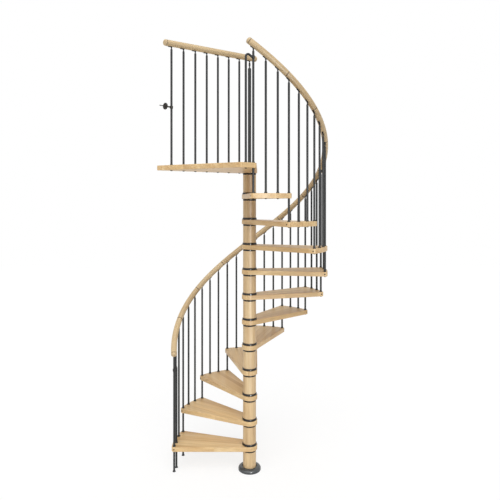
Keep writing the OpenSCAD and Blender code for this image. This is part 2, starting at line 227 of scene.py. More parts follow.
def lathe(shape, profile, place, sides=32, ring=False, seed=0.0):
    """A profile of (radius, height) turned round place's Z.

    ring closes a profile that has a bore, and seed moves the grain to another stretch of timber.
    """
    angles = [2 * pi * s / sides for s in range(sides)]
    rings = []
    for r, z in profile:
        spots = [Vector((0, 0, z))] if r < WELD else [polar(r, a, z) for a in angles]
        rings.append([shape.vert(place @ p, (p.z + 3 * seed, p.x + seed, p.y)) for p in spots])
    shape.skin(rings, wrap=ring)
    return rings


def tube(shape, path, along, across, radii, sides, seed=0.0):
    """A closed round bar along a path, with its own radius at each point."""
    rings, run = [], 0.0
    for j, (point, forward, side, r) in enumerate(zip(path, along, across, radii)):
        run += (point - path[j - 1]).length if j else 0.0
        u = (side - side.project(forward)).normalized()
        v = forward.cross(u).normalized()
        ring = []
        for s in range(sides):
            x, y = r * cos(2 * pi * s / sides), r * sin(2 * pi * s / sides)
            ring.append(shape.vert(point + x * u + y * v, (run + 3 * seed, x + seed, y)))
        rings.append(ring)
    shape.skin(rings)
    shape.face(rings[0][::-1])
    shape.face(rings[-1])
    return rings


def outline(arcs, inset):
    """Points of a convex outline made of arcs (centre, radius, first angle, last angle, steps)."""
    points = []
    for centre, radius, a0, a1, steps in arcs:
        for a in swing(a1 - a0, steps):
            points.append(Vector(centre) + polar(radius - inset, a0 + a).xy)
    return points


def slab(shape, arcs, low, high, steps=4):
    """A board with this outline, its top and bottom edges rounded."""
    round_over = [(EDGE_R * (1 - sin(a)), EDGE_R * (1 - cos(a))) for a in swing(pi / 2, steps)]
    levels = [(inset, low + drop) for inset, drop in round_over]
    levels += [(inset, high - drop) for inset, drop in reversed(round_over)]
    rings = [[shape.vert((p.x, p.y, z)) for p in outline(arcs, inset)] for inset, z in levels]
    shape.skin(rings)
    shape.face(rings[0][::-1])
    shape.face(rings[-1])


def piece(name, shape, material, nodes, smooth=radians(40), cut=None, second=None):
    """The shape as an object that rides on the stair and stands for CAD nodes.

    cut is a shape taken out of it, and second is the material of its stained joint faces, or the black
    of its grub holes' faces, which is painted shade.
    """
    bmesh.ops.remove_doubles(shape.bm, verts=shape.bm.verts, dist=1e-7)
    bmesh.ops.recalc_face_normals(shape.bm, faces=shape.bm.faces)
    mesh = bpy.data.meshes.new(name)
    shape.bm.to_mesh(mesh)
    shape.bm.free()
    obj = bpy.data.objects.new(name, mesh)
    bpy.context.scene.collection.objects.link(obj)
    if cut:
        drill(obj, cut)
    for polygon in obj.data.polygons:
        polygon.use_smooth = True
    obj.data.set_sharp_from_angle(angle=smooth)
    obj.data.materials.append(material)
    if second:
        obj.data.materials.append(second)
    weights = obj.modifiers.new("flat_faces_first", "WEIGHTED_NORMAL")
    weights.keep_sharp = True
    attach(obj, "root")
    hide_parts(*nodes)
    return obj


def drill(obj, shape):
    """Cuts a shape out of an object's mesh."""
    bmesh.ops.recalc_face_normals(shape.bm, faces=shape.bm.faces)
    mesh = bpy.data.meshes.new("drill")
    shape.bm.to_mesh(mesh)
    shape.bm.free()
    bit = bpy.data.objects.new("drill", mesh)
    bpy.context.scene.collection.objects.link(bit)
    holes = obj.modifiers.new("holes", "BOOLEAN")
    holes.object, holes.operation, holes.solver = bit, "DIFFERENCE", "EXACT"
    bpy.context.view_layer.update()
    done = bpy.data.meshes.new_from_object(obj.evaluated_get(bpy.context.evaluated_depsgraph_get()))
    obj.modifiers.clear()
    obj.data = done
    bpy.data.objects.remove(bit)


def set_grain(obj, to_timber):
    """Stores each vertex's place in the board it was cut from: X runs along the grain."""
    mesh = obj.data
    if "grain" in mesh.attributes:
        mesh.attributes.remove(mesh.attributes["grain"])
    grain = mesh.attributes.new("grain", "FLOAT_VECTOR", "POINT")
    for vert in mesh.vertices:
        grain.data[vert.index].vector = to_timber @ vert.co


# Materials ----------------------------------------------------------------------------


def srgb(red, green, blue):
    """A colour given as 0 to 255, as the shader wants it."""
    parts = [c / 255 for c in (red, green, blue)]
    return tuple(c / 12.92 if c <= 0.04045 else ((c + 0.055) / 1.055) ** 2.4 for c in parts) + (1.0,)


class Tree:
    """Short calls for building a material's nodes."""

    def __init__(self, name):
        self.material = bpy.data.materials.new(name)
        self.material.use_nodes = True
        self.tree = self.material.node_tree
        self.shader = self.tree.nodes["Principled BSDF"]

    def put(self, socket, value):
        if isinstance(value, bpy.types.NodeSocket):
            self.tree.links.new(value, socket)
        else:
            socket.default_value = value

    def add(self, kind, out=0, settings=(), **inputs):
        """A new node's output. Its inputs go by name, or by number as _0, _1 and so on."""
        node = self.tree.nodes.new("ShaderNode" + kind)
        for key, value in dict(settings).items():
            setattr(node, key, value)
        for key, value in inputs.items():
            self.put(node.inputs[int(key[1:]) if key[1:].isdigit() else key], value)
        return node.outputs[out]

    def math(self, operation, *values):
        inputs = {f"_{n}": value for n, value in enumerate(values)}
        return self.add("Math", settings={"operation": operation}, **inputs)

    def stretched(self, vector, *scale):
        return self.add("VectorMath", settings={"operation": "MULTIPLY"}, _0=vector, _1=scale)

    def noise(self, vector, scale, detail=2.0, rough=0.5, distortion=0.0):
        return self.add("TexNoise", Vector=vector, Scale=scale, Detail=detail, Roughness=rough,
                        Distortion=distortion)

    def ramp(self, factor, *stops):
        node = self.tree.nodes.new("ShaderNodeValToRGB")
        node.color_ramp.interpolation = "EASE"
        while len(node.color_ramp.elements) < len(stops):
            node.color_ramp.elements.new(1.0)
        for element, (place, colour) in zip(node.color_ramp.elements, stops):
            element.position, element.color = place, colour
        self.put(node.inputs[0], factor)
        return node.outputs[0]

    def blend(self, kind, factor, first, second):
        node = self.tree.nodes.new("ShaderNodeMix")
        node.data_type, node.blend_type = "RGBA", kind
        self.put(node.inputs["Factor"], factor)
        self.put(node.inputs[6], first)
        self.put(node.inputs[7], second)
        return node.outputs[2]

    def span(self, value, low, high):
        """A value from 0 to 1 brought between low and high."""
        return self.add("MapRange", _0=value, _3=low, _4=high)

    def bump(self, height, strength, distance):
        self.put(self.shader.inputs["Normal"],
                 self.add("Bump", Height=height, Strength=strength, Distance=distance))


def grey(value):
    return (value, value, value, 1.0)


def beech(name, stave_w, dark, middle, pale, streak=1.0):
    """Varnished beech: soft growth figure, fine fibres and short dark flecks, in glued staves."""
    t = Tree(name)
    grain = t.add("Attribute", out=1, settings={"attribute_name": "grain"})
    parts = t.tree.nodes.new("ShaderNodeSeparateXYZ")
    t.put(parts.inputs[0], grain)
    stave = t.math("FLOOR", t.math("DIVIDE", parts.outputs[1], stave_w))
    chance = t.add("TexWhiteNoise", settings={"noise_dimensions": "1D"}, W=stave)
    jump = t.add("CombineXYZ", X=t.math("MULTIPLY", chance, 9.0), Y=t.math("MULTIPLY", chance, 3.0))
    board = t.add("VectorMath", settings={"operation": "ADD"}, _0=grain, _1=jump)

    figure = t.noise(t.stretched(board, 1.1, 17.0, 17.0), 1.0, 3.0, 0.55, 0.7 * streak)
    band = t.noise(t.stretched(board, 2.6, 75.0, 75.0), 1.0, 3.0, 0.6, 0.4)
    fibre = t.noise(t.stretched(board, 14.0, 700.0, 700.0), 1.0, 2.0, 0.6)
    fleck = t.noise(t.stretched(board, 210.0, 1500.0, 1500.0), 1.0, 1.0, 0.5)
    fleck = t.span(fleck, -2.05, 1.35)

    white = grey(1.0)
    colour = t.ramp(figure, (0.28, dark), (0.5, middle), (0.72, pale))
    colour = t.blend("MULTIPLY", 0.55, colour, t.ramp(band, (0.3, grey(0.80)), (0.62, white)))
    colour = t.blend("MULTIPLY", 0.40, colour, t.ramp(fibre, (0.3, grey(0.78)), (0.65, white)))
    brown = srgb(188, 148, 112)
    colour = t.blend("MULTIPLY", 0.50, colour, t.ramp(fleck, (0.0, white), (1.0, brown)))
    dull, clear, warm = srgb(240, 233, 224), srgb(251, 248, 244), srgb(255, 251, 243)
    tint = t.ramp(chance, (0.0, dull), (0.5, clear), (1.0, warm))
    colour = t.blend("MULTIPLY", 1.0, colour, tint)
    t.put(t.shader.inputs["Base Color"], colour)
    t.put(t.shader.inputs["Roughness"], t.span(band, 0.40, 0.56))
    t.shader.inputs["Specular IOR Level"].default_value = 0.40
    t.shader.inputs["Coat Weight"].default_value = 0.20
    t.shader.inputs["Coat Roughness"].default_value = 0.30
    raised = t.math("ADD", t.math("MULTIPLY", fibre, 0.5), t.math("MULTIPLY", band, 0.3))
    height = t.math("SUBTRACT", raised, t.math("MULTIPLY", fleck, 0.8))
    t.bump(height, 0.22, 0.0004)
    return t.material


def coated(name, low, high, rough, specular, metallic, speckle, bump):
    """Powder-coated or moulded: a fine speckle, slow clouding and an orange-peel skin."""
    t = Tree(name)
    place = t.add("TexCoord", out=3)
    fine = t.noise(place, speckle, 3.0, 0.6)
    slow = t.noise(place, 9.0, 2.0)
    colour = t.ramp(fine, (0.3, low), (0.7, high))
    colour = t.blend("MULTIPLY", 0.5, colour, t.ramp(slow, (0.3, grey(0.82)), (0.7, grey(1.0))))
    t.put(t.shader.inputs["Base Color"], colour)
    t.put(t.shader.inputs["Roughness"], t.span(t.noise(place, 34.0, 3.0), rough - 0.07, rough + 0.07))
    t.shader.inputs["Specular IOR Level"].default_value = specular
    t.shader.inputs["Metallic"].default_value = metallic
    t.bump(fine, bump, 0.0003)
    return t.material


tread_beech = beech("beech_boards", STAVE_W,
                    srgb(204, 169, 119), srgb(219, 188, 139), srgb(230, 204, 158))
sleeve_beech = beech("beech_sleeves", SLIM_STAVE_W,
                     srgb(203, 173, 131), srgb(218, 192, 150), srgb(229, 207, 168), streak=0.8)
rail_beech = beech("beech_rails", SLIM_STAVE_W,
                   srgb(189, 165, 126), srgb(205, 182, 143), srgb(217, 197, 159), streak=0.8)
stained_joint = beech("beech_joints", SLIM_STAVE_W,
                      srgb(74, 54, 38), srgb(88, 66, 48), srgb(102, 80, 58), streak=0.8)
charcoal = coated("charcoal_powder_coat", srgb(40, 42, 43), srgb(49, 51, 52),
                  rough=0.40, specular=0.26, metallic=0.0, speckle=1500.0, bump=0.03)
iron = coated("base_enamel", srgb(62, 65, 67), srgb(72, 75, 77),
              rough=0.17, specular=0.50, metallic=0.0, speckle=500.0, bump=0.03)
collar_black = coated("collar_moulding", srgb(17, 11, 7), srgb(27, 19, 13),
                      rough=0.15, specular=0.45, metallic=0.0, speckle=600.0, bump=0.02)
zinc = coated("zinc_plate", srgb(148, 148, 146), srgb(172, 172, 170),
              rough=0.34, specular=0.5, metallic=0.9, speckle=700.0, bump=0.08)
# blacked is also painted onto the faces of the treads' grub holes, as painted shade.
blacked = coated("blacked_steel", srgb(38, 36, 33), srgb(56, 52, 47),
                 rough=0.42, specular=0.3, metallic=0.2, speckle=700.0, bump=0.12)

# Pole ---------------------------------------------------------------------------------


def base_plate():
    """A domed plate on a narrow foot ring, with a seat that the first sleeve stands in."""
    low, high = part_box("base_plate")
    plate_r, plate_h = high.x, high.z
    ring_in_r, ring_r, hollow_h, edge = plate_r - 0.006, plate_r - 0.005, 0.0008, 0.0015
    under = [(0, hollow_h), (ring_in_r, hollow_h), (ring_r, 0), (plate_r - edge, 0), (plate_r, edge)]
    crest_r, rim_h = SLEEVE_R + 0.012, 0.012
    wide, tall = plate_r - crest_r, plate_h - rim_h
    dome = [(crest_r + wide * cos(a), rim_h + tall * sin(a)) for a in swing(pi / 2, 16)]
    seat_r, seat_h, lip = SLEEVE_R + 0.006, 0.006, 0.001
    seat = [(seat_r + lip, plate_h), (seat_r, plate_h - lip), (seat_r, seat_h), (0, seat_h)]
    shape = Shape()
    lathe(shape, under + dome + seat, standing((0, 0, 0)), 96)
    piece("floor_flange", shape, iron, ["base_plate"])


def sleeves():
    """Wooden sleeves with eased edges, each turned so that its figure faces another way."""
    shape = Shape()
    eased_r, turn, timber_step = 0.0012, 2.1, 0.61
    for k, box in enumerate(solids("pole_sleeves")):
        height = spread(box)[1]
        profile = [(BORE_R, 0), (SLEEVE_R, 0), (SLEEVE_R, height), (BORE_R, height)]
        place, seed = standing((0, 0, box[0].z), k * turn), timber_step * (k + 1)
        lathe(shape, fillet(profile, eased_r, 3), place, 96, ring=True, seed=seed)
    piece("wooden_sleeves", shape, sleeve_beech, ["pole_sleeves"])


def collars():
    """A flared collar on each tread, and one with bulging sides under each tread and the landing."""
    top, low = Shape(), Shape()
    body_r, edge, flare_z, top_edge = SLEEVE_R + 0.0015, 0.0008, 0.002, 0.0006
    for box in solids("top_collars"):
        foot_r, height = spread(box)
        wide, tall = foot_r - body_r, height - flare_z - top_edge
        flare = [(body_r + wide * cos(a), flare_z + tall * sin(a)) for a in swing(pi / 2, 12)]
        profile = [(BORE_R, 0), (foot_r - edge, 0), (foot_r, edge)] + flare
        profile += [(body_r - top_edge, height), (BORE_R, height)]
        lathe(top, profile, standing((0, 0, box[0].z)), 96, ring=True)
    bulge = 0.0026
    for box in solids("low_collars"):
        side_r, height = spread(box)
        half = height / 2
        side = [(side_r - bulge + bulge * sin(a), half - half * cos(a)) for a in swing(pi, 14)]
        profile = [(BORE_R, 0)] + side + [(BORE_R, height)]
        lathe(low, profile, standing((0, 0, box[0].z)), 96, ring=True)
    piece("flared_collars", top, collar_black, ["top_collars"])
    piece("plain_collars", low, collar_black, ["low_collars"])


# Treads and landing -------------------------------------------------------------------

SIDE_A = acos((HUB_R - CORNER_R) / RING_R)


def grub_directions(k):
    """(corner baluster, direction of its grub screw) for both ends of tread k."""
    first, last = (k - 1) * BARS_PER_TREAD, k * BARS_PER_TREAD
    return [(first, bar_a(first) + SIDE_A), (last, bar_a(last) - SIDE_A)]


def paint_hole_shade(mesh, spot, direction):
    """Paints the sunk rim and wall of a grub screw's hole in the object's second material, black, as
    painted shade in the hole.
    """
    def inside(place):
        reach = place - spot
        off_axis = (reach - reach.project(direction)).length
        return reach.dot(direction) > 0 and off_axis < GRUB_R + 2 * GRUB_RIM

    for polygon in mesh.polygons:
        if all(inside(mesh.vertices[v].co) for v in polygon.vertices):
            polygon.material_index = 1


def tread(k):
    """A winder tread with a round hub, rounded tips and the holes of its two grub screws, their rim and
    wall painted black as painted shade.
    """
    middle = bar_a((k - 0.5) * BARS_PER_TREAD)
    half, z = TURN / 2, tread_top[k - 1]
    near, far = polar(RING_R, middle - half).xy, polar(RING_R, middle + half).xy
    arcs = [((0, 0), HUB_R, middle + half + SIDE_A, middle + 2 * pi - half - SIDE_A, 48),
            (near, CORNER_R, middle - half - SIDE_A, middle - half, 16),
            ((0, 0), TIP_R, middle - half, middle + half, 24),
            (far, CORNER_R, middle + half, middle + half + SIDE_A, 16)]
    shape, holes = Shape(), Shape()
    slab(shape, arcs, z - TREAD_T, z)
    hole_end, mouth_r = BAR_R + 0.002, GRUB_R + 2 * GRUB_RIM
    hole = [(0, hole_end), (GRUB_R, hole_end), (GRUB_R, CORNER_R - GRUB_RIM),
            (mouth_r, CORNER_R + GRUB_RIM), (0, CORNER_R + GRUB_RIM)]
    grubs = [(bar_place(i, z - TREAD_T / 2), polar(1, a)) for i, a in grub_directions(k)]
    for spot, direction in grubs:
        lathe(holes, hole, facing(direction, spot), 24)
    name, node = f"wooden_tread_{k:02d}", f"tread_{k:02d}"
    # second=blacked paints the grub holes' rim and wall black: painted shade in the holes.
    obj = piece(name, shape, tread_beech, [node], cut=holes, second=blacked)
    for spot, direction in grubs:
        paint_hole_shade(obj.data, spot, direction)
    to_board = Matrix.Rotation(-middle, 4, "Z")
    set_grain(obj, Matrix.Translation((1.7 * k, STAVE_W * (7 * k + 0.5), 0.4 * k)) @ to_board)


def meet(a1, d1, a2, d2):
    """Where two lines meet, each given by its normal's angle and its distance from the axis."""
    det = sin(a2 - a1)
    return ((d1 * sin(a2) - d2 * sin(a1)) / det, (d2 * cos(a1) - d1 * cos(a2)) / det)


def landing():
    """The landing's board, from its hub to the straight outer edge and the last baluster's corner."""
    corner_r = 0.005
    back_a = RAILING_A - pi / 2
    edge_a = (LAST_A + RAILING_A) / 2
    clip_a = LAST_A + CLIP_TURN
    side_a = LAST_A + acos((HUB_R - LANDING_CORNER_R) / RING_R)
    back_d, edge_d = HUB_R - corner_r, LANDING_REACH - corner_r
    clip_d = RING_R * cos(CLIP_TURN) + LANDING_CORNER_R - corner_r
    edge_turn = (edge_a - back_a) % (2 * pi)
    arcs = [((0, 0), HUB_R, side_a, back_a + 2 * pi, 48),
            (meet(back_a, back_d, edge_a, edge_d), corner_r, back_a, back_a + edge_turn, 10),
            (meet(edge_a, edge_d, clip_a, clip_d), corner_r, edge_a, clip_a, 6),
            (polar(RING_R, LAST_A).xy, LANDING_CORNER_R, clip_a, side_a, 14)]
    shape = Shape()
    slab(shape, arcs, LANDING_Z - TREAD_T, LANDING_Z)
    obj = piece("wooden_landing", shape, tread_beech, ["landing"])
    to_board = Matrix.Rotation(-RAILING_A, 4, "Z")
    set_grain(obj, Matrix.Translation((31.0, STAVE_W * 0.5, 7.0)) @ to_board)


def edge_screws():
    """Grub screws with a round socket, a little below the wood."""
    shape = Shape()
    screw_r, start, face, edge = GRUB_R - 0.0002, BAR_R + 0.001, CORNER_R - GRUB_RECESS, 0.0006
    socket_r, depth, bevel = 0.0021, 0.003, 0.0003
    profile = [(0, start), (screw_r, start), (screw_r, face - edge), (screw_r - edge, face),
               (socket_r * 1.1, face), (socket_r, face - bevel), (socket_r, face - depth),
               (0, face - depth)]
    for k in range(1, TREADS + 1):
        for i, a in grub_directions(k):
            spot = bar_place(i, tread_top[k - 1] - TREAD_T / 2)
            lathe(shape, profile, facing(polar(1, a), spot), 24)
    piece("grub_screws", shape, blacked, ["edge_screws"], smooth=radians(30))


# Balusters ----------------------------------------------------------------------------


def baluster(shape, box):
    """A round bar whose top tapers to the neck that enters the rail's bracket."""
    height = spread(box)[1]
    profile = [(0, 0), (BAR_R, 0), (BAR_R, height - NECK_H - TAPER_H), (NECK_R, height - NECK_H),
               (NECK_R, height), (0, height)]
    lathe(shape, fillet(profile, 0.003, 4), standing(foot(box)), 28)


def balusters():
    """The three groups of balusters, each as one piece."""
    groups = [("corner_bars", "corner_balusters"), ("tread_bars", "tread_balusters"),
              ("landing_bars", "landing_balusters")]
    for name, node in groups:
        shape = Shape()
        for box in solids(node):
            baluster(shape, box)
        piece(name, shape, charcoal, [node])


def cones():
    """The flared cover round each baluster on the wood."""
    shape = Shape()
    in_r, rim_h, waist_r, top_r = BAR_R - 0.0002, 0.0022, BAR_R + 0.0028, BAR_R + 0.0022
    for box in solids("baluster_cones"):
        foot_r, height = spread(box)
        profile = [(in_r, 0), (foot_r, 0), (foot_r, rim_h), (foot_r - 0.0012, rim_h + 0.0012),
                   (waist_r, height * 0.55), (top_r, height), (in_r, height)]
        lathe(shape, fillet(profile, 0.0012, 3), standing(foot(box)), 32, ring=True)
    piece("cover_cones", shape, charcoal, ["baluster_cones"])


def cap_nuts():
    """Domed cap nuts with a flange, under the wood."""
    shape = Shape()
    for box in solids("cap_nuts"):
        r, height = spread(box)
        dome_r, dome_h = r - 0.0014, height * 0.62
        dome = [(dome_r * sin(a), dome_h * (1 - cos(a))) for a in swing(pi / 2, 8)]
        flange = [(r - 0.0012, height * 0.7), (r - 0.0003, height * 0.74), (r, height * 0.78),
                  (r, height), (0, height)]
        lathe(shape, dome + flange, standing(foot(box)), 32)
    piece("acorn_nuts", shape, blacked, ["cap_nuts"])


def rail_bracket(shape, place, slope):
    """Boss on the baluster's neck and a round-ended plate that hugs the rail above it.

    place puts the rail's centre at the origin, with the rail along local Y, climbing towards -Y.
    """
    gap_r = RAIL_R + 0.0002
    base_z = -RAIL_R - LUG_T
    foot_y = -base_z * tan(slope)
    y0, y1 = foot_y + LUG_BACK - LUG_LEN, foot_y + LUG_BACK
    mid_y = (y0 + y1) / 2
    end_r, rows, columns = LUG_W / 2, 24, 8
    tip_half, lip_h, narrower, shorter = 0.0006, 0.0008, 0.86, 0.97
    tilt = place @ Matrix.Rotation(-slope, 4, "X")

    def row(points):
        return [shape.vert(tilt @ Vector(p)) for p in points]

    top, lip, low = [], [], []
    for j in range(rows + 1):
        y = y0 + (y1 - y0) * (1 - cos(pi * j / rows)) / 2
        from_end = min(y - y0, y1 - y, end_r)
        half = max((end_r ** 2 - (end_r - from_end) ** 2) ** 0.5, tip_half)
        xs = [half * (2 * c / columns - 1) for c in range(columns + 1)]
        top.append(row((x, y, -(gap_r ** 2 - x * x) ** 0.5) for x in xs))
        lip.append(row((x, y, base_z + lip_h) for x in xs))
        low.append(row((x * narrower, (y - mid_y) * shorter + mid_y, base_z) for x in xs))
    for sheet in (top, low):
        for a, b in zip(sheet, sheet[1:]):
            for c in range(columns):
                shape.face([a[c], a[c + 1], b[c + 1], b[c]])
    rim = [(j, 0) for j in range(rows)] + [(rows, c) for c in range(columns)]
    rim += [(j, columns) for j in range(rows, 0, -1)] + [(0, c) for c in range(columns, 0, -1)]
    for upper, lower in ((top, lip), (lip, low)):
        for (j, c), (m, n) in zip(rim, rim[1:] + rim[:1]):
            shape.face([upper[j][c], upper[m][n], lower[m][n], lower[j][c]])
    drop = (RAIL_R + LUG_T) / cos(slope)
    boss_top = -drop + 0.0015
    boss = [(0, -drop - BOSS_H), (BOSS_R, -drop - BOSS_H), (BOSS_R, boss_top), (0, boss_top)]
    lathe(shape, fillet(boss, 0.0012, 3), place, 24)


def rail_brackets():
    """A bracket on every baluster of the stair, and on the post and the landing's balusters."""
    stair, level = Shape(), Shape()
    for i in range(BARS + 1):
        rail_bracket(stair, standing(bar_place(i, rail_z(i)), bar_a(i)), RAIL_SLOPE)
    for spot in [Vector()] + [foot(box) for box in landing_bars]:
        place = standing((spot.x, spot.y, LANDING_RAIL_Z), RAILING_A + pi / 2)
        rail_bracket(level, place, 0.0)
    piece("stair_rail_lugs", stair, charcoal, ["stair_rail_brackets"])
    piece("landing_rail_lugs", level, charcoal, ["landing_rail_brackets"])


# Handrails ----------------------------------------------------------------------------


def rail_joint(k):
    """Where length k of the stair's rail ends, counted in balusters."""
    return -RAIL_LEAD + k * (BARS + RAIL_LEAD + RAIL_TAIL) / TREADS


def rail_dir(i):
    """The way the stair's rail climbs at baluster i."""
    level = RING_R * BAR_TURN
    return Vector((level * sin(bar_a(i)), -level * cos(bar_a(i)), RISE / BARS_PER_TREAD)).normalized()


def handrail(k):
    """One curved length of the stair's rail, with a stained groove at each joint."""
    start, end = rail_joint(k - 1), rail_joint(k)
    groove = JOINT_GROOVE / hypot(RING_R * BAR_TURN, RISE / BARS_PER_TREAD)
    steps, span = 40, end - start - 2 * groove
    marks = [start] + [start + groove + span * j / steps for j in range(steps + 1)] + [end]
    radii = [RAIL_R - JOINT_DEPTH] + [RAIL_R] * (steps + 1) + [RAIL_R - JOINT_DEPTH]
    shape = Shape()
    path = [bar_place(i, rail_z(i)) for i in marks]
    along = [rail_dir(i) for i in marks]
    across = [polar(1, bar_a(i)) for i in marks]
    rings = tube(shape, path, along, across, radii, 40, seed=0.43 * k)
    shape.stain(rings[:2])
    shape.stain(rings[-2:])
    name, node = f"beech_rail_{k:02d}", f"handrail_{k:02d}"
    piece(name, shape, rail_beech, [node], second=stained_joint)


def landing_rail():
    """The landing's straight rail. Gives back its two ends."""
    low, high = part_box("landing_handrail")
    ahead = polar(1, RAILING_A)
    length = (high.x - low.x - 2 * RAIL_R * abs(ahead.y)) / abs(ahead.x)
    origin = (low + high) / 2 - ahead * length / 2
    chamfer = [(RAIL_R - JOINT_DEPTH / 2, 0), (RAIL_R, JOINT_GROOVE / 2)]
    profile = [(0, 0)] + chamfer + [(r, length - z) for r, z in reversed(chamfer)] + [(0, length)]
    shape = Shape()
    rings = lathe(shape, profile, facing(ahead, origin), 64, seed=6.1)
    shape.stain(rings[1:3])
    shape.stain(rings[-3:-1])
    name, node = "beech_landing_rail", "landing_handrail"
    piece(name, shape, rail_beech, [node], second=stained_joint)
    return origin, origin + ahead * length


def rail_caps(landing_ends):
    """The rounded ends of both rails."""
    shank = CAP_LEN * 0.3
    dome = [(RAIL_R * cos(a), shank + (CAP_LEN - shank) * sin(a)) for a in swing(pi / 2, 16)]
    dome[-1] = (0, CAP_LEN)
    profile = [(0, 0), (RAIL_R - JOINT_DEPTH / 2, 0), (RAIL_R, JOINT_GROOVE / 2)] + dome
    ahead = polar(1, RAILING_A)
    first, last = rail_joint(0), rail_joint(TREADS)
    ends = [(bar_place(first, rail_z(first)), -rail_dir(first)),
            (bar_place(last, rail_z(last)), rail_dir(last)),
            (landing_ends[0], -ahead),
            (landing_ends[1], ahead)]
    shape = Shape()
    for n, (spot, direction) in enumerate(ends):
        rings = lathe(shape, profile, facing(direction, spot), 48, seed=0.7 + 0.9 * n)
        shape.stain(rings[1:3])
    piece("rail_end_caps", shape, rail_beech, ["handrail_caps"], second=stained_joint)


# Post, hoops, legs and wall bracket ---------------------------------------------------


def landing_post():
    """The post on top of the pole: a flared foot, a round bar, a slim neck and a thin bar on top."""
    low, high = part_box("landing_post")
    foot_r, top = spread((low, high))
    post_r, shoulder = 0.015, 0.907
    neck, taper_z, neck_z = shoulder + 0.014, top - NECK_H - TAPER_H, top - NECK_H
    base = [(0, 0), (foot_r, 0), (foot_r, 0.004), (post_r + 0.003, 0.013), (post_r + 0.0012, 0.016),
            (post_r, 0.0165)]
    upper = [(post_r, shoulder), (NECK_R, neck), (NECK_R, neck + 0.004), (BAR_R, neck + 0.012),
             (BAR_R, taper_z), (NECK_R, neck_z), (NECK_R, top), (0, top)]
    shape = Shape()
    lathe(shape, fillet(base + upper, 0.002, 4), standing((0, 0, low.z)), 48)
    piece("newel_post", shape, charcoal, ["landing_post"])


def hoop_path(foot_z, peak):
    """A hoop in its own plane: up, over and down to the side of the bar at x = HOOP_SPAN."""
    r, fall = HOOP_BEND_R, HOOP_BEND_A - pi / 2
    bend_z, bar_side = peak - r, HOOP_SPAN - BAR_R
    bend_end = Vector((r + r * sin(fall), bend_z + r * cos(fall)))
    run_end = bar_side - 0.008
    run_z = bend_end.y - (run_end - bend_end.x) * tan(fall)
    bend = [Vector((r - r * cos(a), bend_z + r * sin(a))) for a in swing(HOOP_BEND_A, 24)]
    upright = [Vector((0, foot_z + (bend_z - foot_z) * j / 4)) for j in range(4)]
    run = [(run_end, run_z), (run_end + 0.004, run_z - 0.0012), (bar_side, run_z - 0.0014)]
    return upright + bend + fillet([bend[-1]] + run, 0.003, 4)[1:]


def hoop(name, node, knot, direction, foot_z):
    """knot is the baluster that the hoop is tied to; direction points from it to the hoop's foot."""
    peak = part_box(node)[1].z - BAR_R
    ahead = -direction
    origin = knot.xy.to_3d() + direction * HOOP_SPAN
    path = [origin + ahead * p.x + Vector((0, 0, p.y)) for p in hoop_path(foot_z, peak)]
    count = len(path)
    spans = [(path[max(j - 1, 0)], path[min(j + 1, count - 1)]) for j in range(count)]
    along = [(after - before).normalized() for before, after in spans]
    side = Vector((-ahead.y, ahead.x, 0))
    shape = Shape()
    tube(shape, path, along, [side] * count, [BAR_R] * count, 28)
    piece(name, shape, charcoal, [node])


def hoops():
    """The hoop at the stair's start and the one where its railing ends at the landing."""
    step = (second_bar - first_bar).xy.to_3d().normalized()
    hoop("first_hoop", "start_hoop", first_bar, step, tread_top[0] - TREAD_T)
    away = polar(1, LAST_A + CLIP_TURN - pi / 2)
    hoop("top_hoop", "landing_hoop", bar_place(BARS, 0), away, LANDING_Z - TREAD_T)


def clamp_ring(shape, spot, height):
    """A ring round a baluster, with rounded rims."""
    in_r, r, half = BAR_R - 0.0003, BAR_R + 0.004, height / 2
    profile = fillet([(in_r, -half), (r, -half), (r, half), (in_r, half)], 0.0012, 4)
    lathe(shape, profile, standing(spot), 40, ring=True)


def hoop_ties():
    """A ring round each baluster that a hoop is tied to."""
    shape = Shape()
    for box in solids("hoop_ties"):
        height = spread(box)[1]
        spot = foot(box) + Vector((0, 0, height / 2))
        bar = min((first_bar, bar_place(BARS, 0)), key=lambda place: (place.xy - spot.xy).length)
        clamp_ring(shape, Vector((bar.x, bar.y, spot.z)), height)
    piece("hoop_rings", shape, charcoal, ["hoop_ties"])


def floor_legs():
    """Thin legs on disc feet."""
    shape = Shape()
    for box in solids("floor_legs"):
        foot_r, height = spread(box)
        disc = [(0, 0), (foot_r, 0), (foot_r, 0.004), (BAR_R + 0.002, 0.0082), (BAR_R + 0.0007, 0.0114)]
        leg = [(BAR_R, 0.0125), (BAR_R, height), (0, height)]
        lathe(shape, fillet(disc + leg, 0.0012, 4), standing(foot(box)), 36)
    piece("levelling_legs", shape, charcoal, ["floor_legs"])


def wall_bracket():
    """A clamp on the last baluster, and an arm that ends in a disc against the wall."""
    low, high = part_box("wall_bracket")
    spot = Vector((last_bar.x, last_bar.y, (low.z + high.z) / 2))
    ahead = polar(1, RAILING_A + WALL_TURN)
    disc_r, disc_t, arm_r = (high.z - low.z) / 2, 0.014, 0.006
    shape = Shape()
    clamp_ring(shape, spot, 0.022)
    back, well = WALL_REACH - disc_t, WALL_REACH - 0.005
    arm = [(0, BAR_R), (arm_r, BAR_R), (arm_r, back - 0.006), (arm_r + 0.004, back)]
    disc = [(disc_r - 0.006, back + 0.002), (disc_r, back + 0.007), (disc_r, WALL_REACH),
            (disc_r - 0.005, WALL_REACH)]
    centre = [(disc_r - 0.007, well), (0.0105, well), (0.0095, WALL_REACH), (0, WALL_REACH)]
    lathe(shape, fillet(arm + disc + centre, 0.0016, 4), facing(ahead, spot), 48)
    piece("wall_fixing", shape, blacked, ["wall_bracket"])
    return spot, ahead


